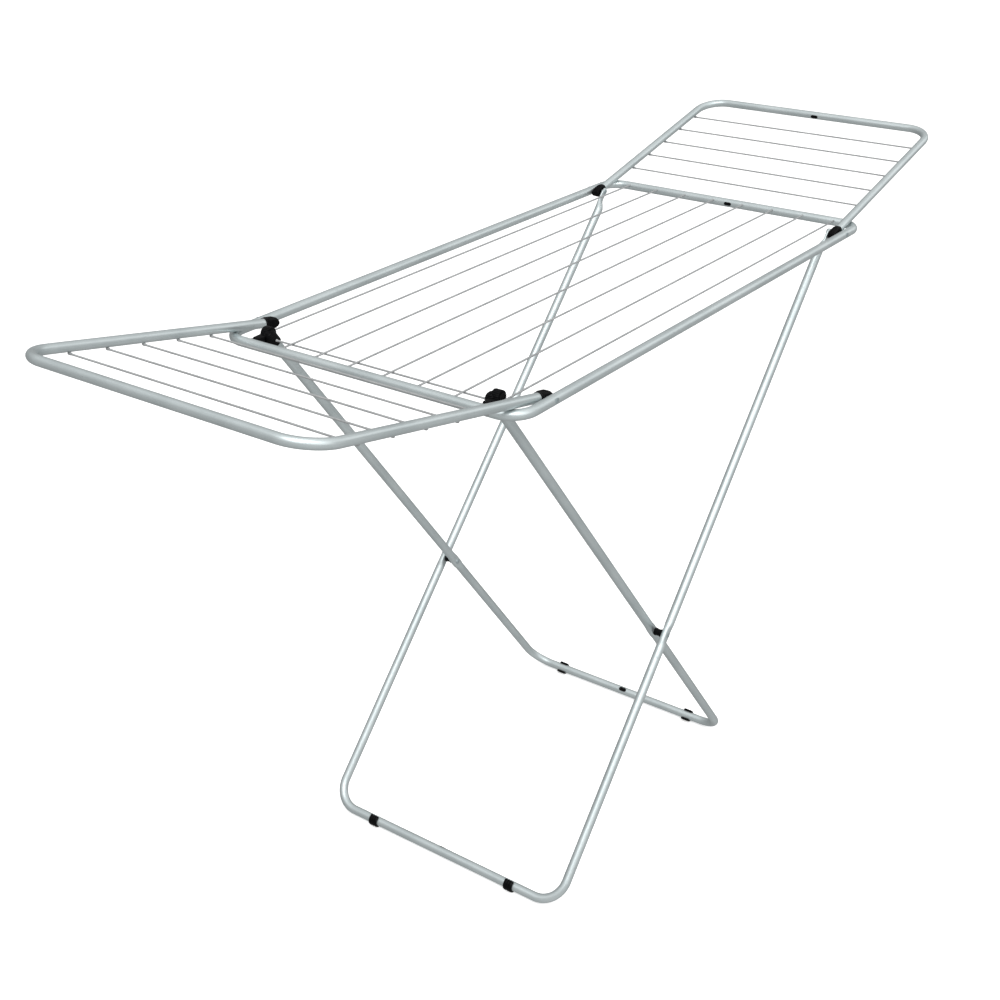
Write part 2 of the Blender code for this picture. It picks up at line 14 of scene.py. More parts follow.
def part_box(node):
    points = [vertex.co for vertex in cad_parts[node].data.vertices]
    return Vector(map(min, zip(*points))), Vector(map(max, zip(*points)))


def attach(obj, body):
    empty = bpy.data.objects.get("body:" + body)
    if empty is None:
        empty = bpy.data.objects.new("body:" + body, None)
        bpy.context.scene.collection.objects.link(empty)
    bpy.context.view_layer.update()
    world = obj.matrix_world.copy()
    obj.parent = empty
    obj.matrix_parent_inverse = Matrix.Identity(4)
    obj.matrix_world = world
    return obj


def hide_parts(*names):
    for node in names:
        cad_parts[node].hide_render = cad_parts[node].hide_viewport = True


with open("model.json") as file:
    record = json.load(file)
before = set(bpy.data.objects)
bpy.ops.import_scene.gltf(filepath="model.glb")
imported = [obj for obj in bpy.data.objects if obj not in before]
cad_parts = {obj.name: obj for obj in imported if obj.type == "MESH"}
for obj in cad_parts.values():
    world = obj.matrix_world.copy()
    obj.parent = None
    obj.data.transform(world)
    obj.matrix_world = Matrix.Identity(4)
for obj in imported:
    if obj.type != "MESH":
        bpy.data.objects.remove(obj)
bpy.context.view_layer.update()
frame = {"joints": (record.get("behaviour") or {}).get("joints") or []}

# --- Sizes the frame doesn't give by itself --------------------------------------------
TUBE_R = 0.0080
WING_TUBE_R = 0.0075
WIRE_R = 0.0015
FRAME_BEND_R = 0.038
WING_BEND_R = 0.050
LEG_BEND_R = 0.045
WING_ARM_Y = 0.2536
WING_ARM_START = 0.0130       # hinge pin to the arm's open end
OUTER_TOP_Y = 0.2366
OUTER_OVERRUN = 0.0056        # outer leg's tube past its hinge pin
INNER_TOP_Y = 0.2050
SCISSOR_SHARE = 0.61632       # place of the scissor pivot along each leg, from the top

EAR_THIN = 0.36               # pressed ear of the outer leg's top, as shares of the radius
EAR_WIDE = 0.84
PIVOT_THIN = 0.74             # pressed flats at the scissor pivots
PIVOT_WIDE = 1.13
PIVOT_FLAT, PIVOT_FADE = 0.009, 0.012         # half length of each flat, and its run-out

WELD_BURY = 0.0012            # how far a centre wire's end is sunk into the end bar
WELD_SWELL = 0.35             # how much thicker it is there
# A wing wire's weld: distance from the wire's end, and thickness as a share of the radius.
WING_WELD = ((0.0, 0.35), (0.0005, 0.9), (0.0012, 1.3), (0.0024, 1.55), (0.0040, 1.6),
             (0.0056, 1.45), (0.0070, 1.2), (0.0085, 1.0))

RIVET_HEAD_R, RIVET_SHANK_R = 0.0046, 0.0030
RIVET_INNER_DOME, RIVET_OUTER_DOME = 0.0017, 0.0009
SPACER_R, SPACER_BORE_R = 0.0070, 0.0032
SPACER_WAIST = 0.0009         # depth of the waist between a spacer's end bands

CAP_FRONT, CAP_BACK = 0.0127, 0.0160          # the wing's cap, from the hinge pin
CAP_HALF_HEIGHT, CAP_HALF_WIDTH = 0.0088, 0.0078
CAP_MOUTH_R = 0.0079
CAP_RIB_PITCH, CAP_RIB_DEPTH = 0.0033, 0.0010

FOOT_INNER_R, FOOT_OUTER_R, FOOT_HALF_LENGTH = 0.0081, 0.0112, 0.0086
FOOT_OPENING = 115.0          # degrees left open, centred on FOOT_OPENING_AT
FOOT_OPENING_AT = 40.0
FOOT_LIP, FOOT_LIP_SWELL = 22.0, 0.9          # degrees of thickened lip, and by how much

HOOK_HEAD_R = 0.0110
HOOK_HEAD_OFFSET = (0.0014, 0.0050)           # head's centre from the leg's end, in x and z
HOOK_RIM_RIBS = 22
HOOK_SADDLE_R = 0.0084
HOOK_OUTWARDS, HOOK_HALF_WIDTH = 0.0066, 0.0070
SLEEVE_R, SLEEVE_LENGTH, SLEEVE_ROOF = 0.0106, 0.0115, 0.0030
SLEEVE_RIB_PITCH, SLEEVE_RIB_DEPTH = 0.0032, 0.0007

CAMERA_PLACE = (-2.0295, -1.2952, 1.7505)     # from the floor under the centre rack's middle
CAMERA_HEADING, CAMERA_DIP = 54.462, -26.620  # degrees from +Y towards +X, and upwards
CAMERA_SENSOR, CAMERA_LENS = 36.0, 53.617     # millimetres

TUBE_SIDES = 32
WIRE_SIDES = 12
TURNED_SIDES = 28
BEND_STEP = math.radians(4)
COARSE = 0.014                # spacing of a tube's rings on plain runs
FINE = 0.0020                 # and where it is pressed

Y_AXIS, Z_AXIS = Vector((0, 1, 0)), Vector((0, 0, 1))
SIDES = ((-1, "near"), (1, "far"))


# --- Places read from the frame --------------------------------------------------------
def middle(node):
    low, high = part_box(node)
    return (low + high) / 2


def joint_place(name):
    return Vector(next(j["pos_m"] for j in frame["joints"] if j["name"] == name))


def leaning(origin, target):
    """A place at origin with X towards target, Z on the upper side and Y along the rack's Y."""
    along = (target - origin).normalized()
    across = Y_AXIS if along.x >= 0 else -Y_AXIS
    turn = Matrix((along, across, along.cross(across))).transposed().to_4x4()
    return Matrix.Translation(origin) @ turn


def foot_bar(leg):
    """Centre of a leg's floor bar and its half width, from the leg's box."""
    low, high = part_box(f"{leg}_leg_tube")
    x = low.x + TUBE_R if leg == "outer" else high.x - TUBE_R
    return Vector((x, 0.0, low.z + TUBE_R)), high.y - TUBE_R


frame_low, frame_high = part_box("centre_frame_tube")
RACK_MIDDLE = (frame_low + frame_high) / 2
HALF_LENGTH = (frame_high.x - frame_low.x) / 2 - TUBE_R
HALF_WIDTH = (frame_high.y - frame_low.y) / 2 - TUBE_R

WING_PIN = {wing: joint_place(f"{wing}_wing_hinge") for wing in ("left", "right")}
OUTER_PIN = joint_place("outer_leg_hinge")
SCISSOR = joint_place("inner_leg_pivot")
OUTER_FOOT, OUTER_FOOT_Y = foot_bar("outer")
INNER_FOOT, INNER_FOOT_Y = foot_bar("inner")
OUTER_PLACE = leaning(OUTER_PIN, OUTER_FOOT)
INNER_PLACE = leaning(SCISSOR, INNER_FOOT)
OUTER_LENGTH = (OUTER_FOOT - OUTER_PIN).length
INNER_BELOW = (INNER_FOOT - SCISSOR).length
INNER_ABOVE = INNER_BELOW * SCISSOR_SHARE / (1 - SCISSOR_SHARE)
OUTER_PIVOT_Y = OUTER_TOP_Y + SCISSOR_SHARE * (OUTER_FOOT_Y - OUTER_TOP_Y)
INNER_PIVOT_Y = INNER_TOP_Y + SCISSOR_SHARE * (INNER_FOOT_Y - INNER_TOP_Y)


def wing_place(wing):
    """The wing's own axes at its hinge pin, and its reach to the outer bar."""
    low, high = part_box(f"{wing}_wing_tube")
    outer_x = low.x + WING_TUBE_R if wing == "left" else high.x - WING_TUBE_R
    outer_bar = Vector((outer_x, 0.0, high.z - WING_TUBE_R))
    pin = WING_PIN[wing]
    return leaning(pin, outer_bar), (outer_bar - pin).length


# --- Materials -------------------------------------------------------------------------
class Finish:
    """A Principled material and short calls for wiring up its nodes."""

    def __init__(self, name):
        self.material = bpy.data.materials.new(name)
        self.material.use_nodes = True
        self.tree = self.material.node_tree
        self.shader = self.tree.nodes["Principled BSDF"]
        self.place = self.node("ShaderNodeTexCoord").outputs["Object"]
        self.run = self.node("ShaderNodeTexCoord").outputs["UV"]

    def node(self, kind, **settings):
        made = self.tree.nodes.new(kind)
        for key, value in settings.items():
            setattr(made, key, value)
        return made

    def link(self, source, target):
        self.tree.links.new(source, target)

    def noise(self, scale, detail=2.0, roughness=0.5, stretch=None, distortion=0.0):
        made = self.node("ShaderNodeTexNoise")
        made.inputs["Scale"].default_value = scale
        made.inputs["Detail"].default_value = detail
        made.inputs["Roughness"].default_value = roughness
        made.inputs["Distortion"].default_value = distortion
        source = self.place
        if stretch:
            mapping = self.node("ShaderNodeMapping")
            mapping.inputs["Scale"].default_value = stretch
            self.link(self.run, mapping.inputs["Vector"])
            source = mapping.outputs["Vector"]
        self.link(source, made.inputs["Vector"])
        return made.outputs["Fac"]

    def flakes(self, scale):
        """A random grey for each cell of a fine cell pattern."""
        made = self.node("ShaderNodeTexVoronoi")
        made.inputs["Scale"].default_value = scale
        self.link(self.place, made.inputs["Vector"])
        grey = self.node("ShaderNodeSeparateColor")
        self.link(made.outputs["Color"], grey.inputs["Color"])
        return grey.outputs["Red"]

    def ramp(self, source, low, high, start=0.0, end=1.0):
        """Source between start and end, turned into a value between low and high."""
        made = self.node("ShaderNodeMapRange")
        made.inputs["From Min"].default_value = start
        made.inputs["From Max"].default_value = end
        made.inputs["To Min"].default_value = low
        made.inputs["To Max"].default_value = high
        self.link(source, made.inputs["Value"])
        return made.outputs["Result"]

    def math(self, operation, first, second):
        made = self.node("ShaderNodeMath", operation=operation)
        for socket, value in zip(made.inputs, (first, second)):
            if isinstance(value, (int, float)):
                socket.default_value = value
            else:
                self.link(value, socket)
        return made.outputs["Value"]

    def blend(self, factor, first, second):
        made = self.node("ShaderNodeMix", data_type="RGBA")
        self.link(factor, made.inputs["Factor"])
        for socket, value in zip((made.inputs[6], made.inputs[7]), (first, second)):
            if isinstance(value, tuple):
                socket.default_value = (*value, 1.0)
            else:
                self.link(value, socket)
        return made.outputs[2]

    def bump(self, height, distance, strength, under=None):
        made = self.node("ShaderNodeBump")
        made.inputs["Strength"].default_value = strength
        made.inputs["Distance"].default_value = distance
        self.link(height, made.inputs["Height"])
        if under:
            self.link(under, made.inputs["Normal"])
        return made.outputs["Normal"]

    def socket(self, name):
        return self.shader.inputs[name.replace("_", " ").title().replace("Ior", "IOR")]

    def set(self, **values):
        for name, value in values.items():
            self.socket(name).default_value = value

    def wire_up(self, **sources):
        for name, source in sources.items():
            self.link(source, self.socket(name))


def silver_paint():
    """Silver-grey metallic powder coat: flake, orange peel, drawing lines, a seam and rubs."""
    made = Finish("silver_paint")
    clouds = made.noise(14.0, 3.0)
    speckle = made.flakes(2400.0)
    streaks = made.noise(1.0, 4.0, 0.6, stretch=(9.0, 520.0, 1.0))
    tone = made.blend(made.ramp(clouds, 0.0, 1.0, 0.35, 0.65),
                      (0.484, 0.546, 0.554), (0.574, 0.634, 0.641))
    tone = made.blend(made.ramp(speckle, 0.0, 0.42), tone, (0.710, 0.765, 0.770))
    tone = made.blend(made.ramp(streaks, 0.0, 0.30, 0.45, 0.75), tone, (0.380, 0.432, 0.440))

    rubs = made.noise(70.0, 5.0, 0.65, distortion=0.6)
    rubbed = made.ramp(rubs, 0.0, 0.55, 0.66, 0.74)
    tone = made.blend(rubbed, tone, (0.340, 0.378, 0.384))
    made.wire_up(base_color=tone)

    grain = made.math("ADD", made.ramp(speckle, 0.0, 0.10), made.ramp(clouds, 0.29, 0.36))
    made.wire_up(roughness=made.math("ADD", grain, made.math("MULTIPLY", rubbed, 0.22)))

    peel = made.bump(made.noise(620.0, 2.0), 0.00006, 0.55)
    lines = made.bump(streaks, 0.00004, 0.35, peel)
    across = made.node("ShaderNodeSeparateXYZ")
    made.link(made.run, across.inputs["Vector"])
    off_seam = made.math("ABSOLUTE", made.math("SUBTRACT", across.outputs["Y"], SEAM_AT), 0.0)
    seam = made.ramp(off_seam, 1.0, 0.0, 0.0002, 0.0009)
    made.link(made.bump(seam, 0.00012, 0.8, lines), made.shader.inputs["Normal"])
    made.set(metallic=0.75, coat_weight=0.12, coat_roughness=0.30, ior=1.5)
    return made.material


def wire_coat():
    """Thin light grey coat on drawn wire, a little lumpy, with darker patches at random."""
    made = Finish("wire_coat")
    patches = made.noise(55.0, 3.0)
    fine = made.noise(900.0, 2.0)
    tone = made.blend(made.ramp(patches, 0.0, 1.0, 0.3, 0.7),
                      (0.350, 0.361, 0.366), (0.440, 0.450, 0.453))
    tone = made.blend(made.ramp(fine, 0.0, 0.4, 0.4, 0.8), tone, (0.280, 0.288, 0.292))
    made.wire_up(base_color=tone, roughness=made.ramp(patches, 0.34, 0.48))
    made.link(made.bump(fine, 0.00004, 0.5), made.shader.inputs["Normal"])
    made.set(metallic=0.35, ior=1.5)
    return made.material


def black_plastic():
    """Black moulded plastic with a spark-eroded grain, faint flow marks and handling shine."""
    made = Finish("black_plastic")
    grain = made.noise(3800.0, 3.0, 0.6)
    flow = made.noise(160.0, 4.0, 0.6, distortion=1.5)
    tone = made.blend(made.ramp(flow, 0.0, 1.0, 0.35, 0.7),
                      (0.0010, 0.0011, 0.0014), (0.0026, 0.0028, 0.0033))
    tone = made.blend(made.ramp(grain, 0.0, 0.35, 0.5, 0.8), tone, (0.0080, 0.0085, 0.0095))
    made.wire_up(base_color=tone)
    shine = made.math("ADD", made.ramp(flow, 0.20, 0.32), made.ramp(grain, 0.0, 0.10))
    made.wire_up(roughness=shine)
    made.link(made.bump(grain, 0.00005, 0.6), made.shader.inputs["Normal"])
    made.set(ior=1.45, specular_ior_level=0.09)
    return made.material


def rivet_steel():
    """Bright zinc-plated steel with fine turned scratches and a few dull spots."""
    made = Finish("rivet_steel")
    scratches = made.noise(1900.0, 4.0, 0.7, distortion=2.0)
    dull = made.noise(420.0, 3.0)
    tone = made.blend(made.ramp(dull, 0.0, 1.0, 0.4, 0.7),
                      (0.440, 0.515, 0.530), (0.360, 0.420, 0.432))
    made.wire_up(base_color=tone, roughness=made.ramp(scratches, 0.20, 0.40))
    made.link(made.bump(scratches, 0.00003, 0.5), made.shader.inputs["Normal"])
    made.set(metallic=0.85)
    return made.material


SEAM_AT = 0.0105              # the tubes' welded seam, as a distance round the section
MATERIALS = {"silver_paint": silver_paint(), "wire_coat": wire_coat(),
             "black_plastic": black_plastic(), "rivet_steel": rivet_steel()}


# --- Mesh tools ------------------------------------------------------------------------
def piece(node, shape, body, slot, place=None):
    """The finished piece for a node: its mesh in the rack's frame, finish, body and slot."""
    if place is not None:
        bmesh.ops.transform(shape, matrix=place, verts=shape.verts)
        if place.determinant() < 0:
            bmesh.ops.reverse_faces(shape, faces=shape.faces)
    mesh = bpy.data.meshes.new(f"{node}_fine")
    shape.to_mesh(mesh)
    shape.free()
    mesh.shade_smooth()
    mesh.set_sharp_from_angle(angle=math.radians(38))
    mesh.materials.append(MATERIALS[slot])
    item = bpy.data.objects.new(f"{node}_fine", mesh)
    bpy.context.scene.collection.objects.link(item)
    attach(item, body)
    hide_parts(node)


def smooth_step(value):
    value = min(1.0, max(0.0, value))
    return value * value * (3 - 2 * value)


def arc(radius, start_degrees, end_degrees, steps, centre=(0.0, 0.0)):
    points = []
    for step in range(steps + 1):
        angle = math.radians(start_degrees + (end_degrees - start_degrees) * step / steps)
        points.append((centre[0] + radius * math.cos(angle),
                       centre[1] + radius * math.sin(angle)))
    return points


def bent_path(corners, bend_radius, closed=False):
    """Straight runs between corners, with each inner corner rounded to a fine arc."""
    corners = [Vector(corner) for corner in corners]
    count = len(corners)
    points = [] if closed else [corners[0]]
    for index in (range(count) if closed else range(1, count - 1)):
        corner = corners[index]
        before = (corners[index - 1] - corner).normalized()
        after = (corners[(index + 1) % count] - corner).normalized()
        half_angle = before.angle(after) / 2
        start = corner + before * bend_radius / math.tan(half_angle)
        centre = corner + (before + after).normalized() * bend_radius / math.sin(half_angle)
        turn_axis = (start - centre).cross(-before)
        turn = math.pi - 2 * half_angle
        steps = round(turn / BEND_STEP)
        for step in range(steps + 1):
            rotation = Matrix.Rotation(turn * step / steps, 3, turn_axis)
            points.append(centre + rotation @ (start - centre))
    if not closed:
        points.append(corners[-1])
    return points


def refined(points, zones=(), closed=False):
    """The same path with rings close together round each zone's (centre, reach)."""
    ends = points[1:] + points[:1] if closed else points[1:]
    result = []
    for start, end in zip(points, ends):
        length = (end - start).length
        travelled = 0.0
        while travelled < length - FINE / 4:
            spot = start.lerp(end, travelled / length)
            result.append(spot)
            pressed = any((spot - centre).length < reach for centre, reach in zones)
            travelled += FINE if pressed else COARSE
    if not closed:
        result.append(points[-1])
    return result


def ring_band(shape, rings, closed=False):
    """Quads between rings of points, with UVs in metres along and round."""
    run = shape.loops.layers.uv.new("run")
    loops = [[shape.verts.new(point) for point in ring] for ring in rings]
    count = len(loops[0])
    lengths = [0.0]
    for before, after in zip(rings, rings[1:]):
        lengths.append(lengths[-1] + (sum(after, Vector()) - sum(before, Vector())).length / count)
    rounds = [0.0]
    for here, there in zip(rings[0], rings[0][1:] + rings[0][:1]):
        rounds.append(rounds[-1] + (there - here).length)
    pairs = list(zip(range(len(loops) - 1), range(1, len(loops))))
    if closed:
        pairs.append((len(loops) - 1, 0))
    for first, second in pairs:
        for index in range(count):
            after = (index + 1) % count
            face = shape.faces.new((loops[first][index], loops[first][after],
                                    loops[second][after], loops[second][index]))
            ends = (first, first, second if second else len(loops) - 1,
                    second if second else len(loops) - 1)
            steps = (index, index + 1, index + 1, index)
            for loop, end, step in zip(face.loops, ends, steps):
                loop[run].uv = (lengths[end], rounds[step])
    if not closed:
        shape.faces.new(list(reversed(loops[0])))
        shape.faces.new(loops[-1])


def tube(points, radius, plane, presses=(), closed=False):
    """A round tube along a flat path; plane is the path's normal.

    Each press is (centre, flat, fade, thin, wide, shift): within flat of centre the section
    is thin across the path's plane, wide along its normal, and moved by shift.
    """
    zones = [(centre, flat + fade + COARSE) for centre, flat, fade, *_ in presses]
    path = refined(points, zones, closed)
    count = len(path)
    rings = []
    for index, spot in enumerate(path):
        before = path[index - 1] if closed or index else spot
        after = path[(index + 1) % count] if closed or index < count - 1 else spot
        tangent = (after - before).normalized()
        side = tangent.cross(plane)
        thin, wide, shift, squareness = 1.0, 1.0, Vector(), 0.0
        for centre, flat, fade, press_thin, press_wide, press_shift in presses:
            weight = 1 - smooth_step(((spot - centre).length - flat) / fade)
            thin += (press_thin - 1) * weight
            wide += (press_wide - 1) * weight
            shift += press_shift * weight
            squareness = max(squareness, weight)
        power = 1 / (1 + 0.45 * squareness)
        ring = []
        for step in range(TUBE_SIDES):
            angle = math.tau * step / TUBE_SIDES
            across = math.copysign(abs(math.cos(angle)) ** power, math.cos(angle))
            upward = math.copysign(abs(math.sin(angle)) ** power, math.sin(angle))
            ring.append(spot + shift + side * (radius * thin * across)
                        + plane * (radius * wide * upward))
        rings.append(ring)
    shape = bmesh.new()
    ring_band(shape, rings, closed)
    return shape


def wire(start, end):
    """A straight level wire whose ends swell into small welds, sunk a little into the tubes."""
    along = (end - start).normalized()
    length = (end - start).length
    side = along.cross(Z_AXIS).normalized()
    up = side.cross(along)
    swelling = [(place, 1 + WELD_SWELL * share) for place, share in
                ((-WELD_BURY, 1.0), (0.0, 0.85), (0.0006, 0.5), (0.0014, 0.2), (0.0026, 0.05),
                 (0.0045, 0.0))]
    stations = list(swelling)
    plain = math.ceil((length - 0.009) / 0.06)
    for step in range(1, plain):
        stations.append((0.0045 + (length - 0.009) * step / plain, 1.0))
    stations += [(length - place, share) for place, share in reversed(swelling)]
    rings = []
    for travelled, share in stations:
        ring = []
        for step in range(WIRE_SIDES):
            angle = math.tau * step / WIRE_SIDES
            ring.append(start + along * travelled
                        + (side * math.cos(angle) + up * math.sin(angle)) * WIRE_R * share)
        rings.append(ring)
    shape = bmesh.new()
    ring_band(shape, rings)
    return shape


def inset(outline, amount):
    """A closed outline of (x, z) points, running anticlockwise, moved inwards."""
    count = len(outline)
    result = []
    for index in range(count):
        before = Vector(outline[index - 1])
        here = Vector(outline[index])
        after = Vector(outline[(index + 1) % count])
        first, second = (here - before).normalized(), (after - here).normalized()
        inwards = Vector((-first.y, first.x)) + Vector((-second.y, second.x))
        if inwards.length < 1e-6:
            inwards = Vector((-first.y, first.x))
        inwards.normalize()
        result.append(tuple(here + inwards * amount))
    return result


def slab(outline, low, high, edge):
    """An (x, z) outline made solid from y = low to y = high, its rims rounded by edge."""
    levels = [(low + edge * up, edge * inwards) for up, inwards in
              ((0.0, 1.0), (0.293, 0.293), (1.0, 0.0))]
    levels += [(high - edge * up, edge * inwards) for up, inwards in
               ((1.0, 0.0), (0.293, 0.293), (0.0, 1.0))]
    shape = bmesh.new()
    rings = []
    for level, amount in levels:
        rings.append([Vector((x, level, z)) for x, z in inset(outline, amount)])
    ring_band(shape, rings)
    bmesh.ops.recalc_face_normals(shape, faces=shape.faces)
    return shape


def turned(profile):
    """A profile of (radius, height) points, from one end of the Y axis to the other."""
    shape = bmesh.new()
    rings = []
    for radius, height in profile:
        ring = []
        for step in range(TURNED_SIDES):
            angle = math.tau * step / TURNED_SIDES
            ring.append(Vector((radius * math.cos(angle), height, radius * math.sin(angle))))
        rings.append(ring)
    ring_band(shape, rings)
    bmesh.ops.recalc_face_normals(shape, faces=shape.faces)
    return shape


def add_shell(shape, other, place):
    """Adds another closed shape to this one, moved to place."""
    bmesh.ops.transform(other, matrix=place, verts=other.verts)
    joined = bpy.data.meshes.new("shell")
    other.to_mesh(joined)
    other.free()
    shape.from_mesh(joined)
    bpy.data.meshes.remove(joined)


def at(x, y, z):
    return Matrix.Translation((x, y, z))


def mirrored(side):
    """Turns a fitting built with +Y outwards to the side of the rack it is on."""
    return Matrix.Diagonal((1.0, side, 1.0, 1.0))


def rivet(inner, outer):
    """A rivet along Y with a low dome on each end, its head faces at inner and outer."""
    dome = []
    for step in range(7):
        angle = math.radians(90 - 90 * step / 6)
        dome.append((max(0.0002, RIVET_HEAD_R * math.cos(angle)), 0.25 + 0.75 * math.sin(angle)))
    top = [(radius, outer + RIVET_OUTER_DOME * height) for radius, height in dome]
    bottom = [(radius, inner - RIVET_INNER_DOME * height) for radius, height in reversed(dome)]
    shank = [(RIVET_HEAD_R, outer), (RIVET_SHANK_R, outer), (RIVET_SHANK_R, inner),
             (RIVET_HEAD_R, inner)]
    return turned(top + shank + bottom)


def stadium(length, width):
    reach = (length - width) / 2
    return (arc(width / 2, -90, 90, 10, (reach, 0.0))
            + arc(width / 2, 90, 270, 10, (-reach, 0.0)))


def hole_plug(length=0.0150, width=0.0064):
    """An oval plug along X facing +Y: flange, a step and a low crowned top."""
    levels = ((-0.0030, 0.0006), (-0.0004, 0.0006), (-0.0004, 0.0), (0.0005, 0.0),
              (0.0008, 0.0002), (0.0009, 0.0006), (0.0007, 0.0009), (0.0005, 0.0012),
              (0.0006, 0.0016), (0.0007, 0.0022))
    outline = stadium(length, width)
    shape = bmesh.new()
    rings = [[Vector((x, level, z)) for x, z in inset(outline, amount)]
             for level, amount in levels]
    ring_band(shape, rings)
    bmesh.ops.recalc_face_normals(shape, faces=shape.faces)
    return shape


# --- Centre rack -----------------------------------------------------------------------
def build_centre_rack():
    x, y = HALF_LENGTH, HALF_WIDTH
    corners = [(-x, -y, 0.0), (x, -y, 0.0), (x, y, 0.0), (-x, y, 0.0)]
    shape = tube(bent_path(corners, FRAME_BEND_R, closed=True), TUBE_R, Z_AXIS, closed=True)
    piece("centre_frame_tube", shape, "centre_rack", "silver_paint",
          Matrix.Translation(RACK_MIDDLE))

    for node in [f"centre_wire_{index}" for index in range(1, 9)]:
        low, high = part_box(node)
        centre = (low + high) / 2
        shape = wire(Vector((low.x, centre.y, centre.z)), Vector((high.x, centre.y, centre.z)))
        piece(node, shape, "centre_rack", "wire_coat")
    low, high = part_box("centre_tie_wire")
    centre = (low + high) / 2
    shape = wire(Vector((centre.x, low.y, centre.z)), Vector((centre.x, high.y, centre.z)))
    piece("centre_tie_wire", shape, "centre_rack", "wire_coat")

    for node, end in (("left_end_plug", -1), ("right_end_plug", 1)):
        facing = Matrix(((0, -end, 0, 0), (1, 0, 0, 0), (0, 0, 1, 0), (0, 0, 0, 1)))
        place = Matrix.Translation(RACK_MIDDLE) @ at(end * (x - TUBE_R), 0.0, 0.0) @ facing
        piece(node, hole_plug(), "centre_rack", "black_plastic", place)


def build_hinge_pins():
    outer = HALF_WIDTH + TUBE_R - 0.0003
    # The left pins end blind in the caps; the right ones also go through the leg's ears.
    inner = {"left": WING_ARM_Y - 0.0050, "right": EAR_Y - TUBE_R * EAR_THIN}
    for wing, pin in WING_PIN.items():
        for side, where in SIDES:
            place = Matrix.Translation(pin) @ mirrored(side)
            piece(f"{wing}_hinge_pin_{where}", rivet(inner[wing], outer), "centre_rack",
                  "rivet_steel", place)


# --- Wings -----------------------------------------------------------------------------
def build_wing(wing):
    body = f"{wing}_wing"
    place, reach = wing_place(wing)
    corners = [(WING_ARM_START, -WING_ARM_Y, 0.0), (reach, -WING_ARM_Y, 0.0),
               (reach, WING_ARM_Y, 0.0), (WING_ARM_START, WING_ARM_Y, 0.0)]
    shape = tube(bent_path(corners, WING_BEND_R), WING_TUBE_R, Z_AXIS)
    piece(f"{wing}_wing_tube", shape, body, "silver_paint", place)

    for index in range(1, 6):
        node = f"{wing}_wing_wire_{index}"
        low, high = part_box(node)
        centre = (low + high) / 2
        shape = wing_wire(centre, low.y, high.y)
        piece(node, shape, body, "wire_coat")

    facing = Matrix(((0, -1, 0, 0), (1, 0, 0, 0), (0, 0, 1, 0), (0, 0, 0, 1)))
    piece(f"{wing}_wing_plug", hole_plug(), body, "black_plastic",
          place @ at(reach - WING_TUBE_R, 0.0, 0.0) @ facing)
    for side, where in SIDES:
        at_pin = Matrix.Translation(WING_PIN[wing] + Vector((0, side * WING_ARM_Y, 0)))
        piece(f"{wing}_wing_cap_{where}", wing_cap(), body, "black_plastic",
              at_pin @ place.to_3x3().to_4x4())


def wing_wire(centre, low_y, high_y):
    """A cross wire under the arms, with a longish weld bead where it meets each arm."""
    length = high_y - low_y
    plain = 8
    middle_run = [(0.0085 + (length - 0.017) * step / plain, 1.0) for step in range(1, plain)]
    stations = list(WING_WELD) + middle_run + [(length - place, share)
                                               for place, share in reversed(WING_WELD)]
    rings = []
    for travelled, share in stations:
        lift = WIRE_R * 0.45 * max(0.0, share - 1)
        rings.append([centre + Vector((WIRE_R * share * math.cos(math.tau * step / WIRE_SIDES),
                                       low_y + travelled,
                                       lift + WIRE_R * share
                                       * math.sin(math.tau * step / WIRE_SIDES)))
                      for step in range(WIRE_SIDES)])
    shape = bmesh.new()
    ring_band(shape, rings)
    bmesh.ops.recalc_face_normals(shape, faces=shape.faces)
    return shape


def wing_cap():
    """The plastic end of an arm: round like the tube at its mouth, then a ribbed block."""
    centre = CAP_HALF_HEIGHT - CAP_BACK
    steps = 92
    rings = []
    for step in range(steps + 1):
        share = step / steps
        x = CAP_FRONT - (CAP_FRONT + CAP_BACK - 0.0004) * share
        body = smooth_step((CAP_FRONT - 0.0015 - x) / 0.0055)
        height = CAP_MOUTH_R + (CAP_HALF_HEIGHT - CAP_MOUTH_R) * body
        width = CAP_MOUTH_R + (CAP_HALF_WIDTH - CAP_MOUTH_R) * body
        if x < centre:
            height *= math.sqrt(max(0.0, 1 - ((x - centre) / CAP_HALF_HEIGHT) ** 2))
        power = 2 / (2.8 + 1.8 * body)
        ribbed = smooth_step((CAP_FRONT - 0.0045 - x) / 0.002) * smooth_step((x + CAP_BACK) / 0.004)
        groove = ribbed * CAP_RIB_DEPTH * (0.5 - 0.5 * math.cos(math.tau * (CAP_FRONT - x)
                                                                / CAP_RIB_PITCH))
        ring = []
        for index in range(36):
            angle = math.tau * index / 36
            across = math.copysign(abs(math.cos(angle)) ** power, math.cos(angle))
            upward = math.copysign(abs(math.sin(angle)) ** power, math.sin(angle))
            ring.append(Vector((x, (width - groove) * across,
                                max(0.0, height - groove) * upward)))
        rings.append(ring)
    shape = bmesh.new()
    ring_band(shape, rings)
    bmesh.ops.recalc_face_normals(shape, faces=shape.faces)
    return shape


# --- Legs ------------------------------------------------------------------------------
EAR_Y = OUTER_TOP_Y + TUBE_R * (1 - EAR_THIN)      # the pressed ear lies against the wing's cap


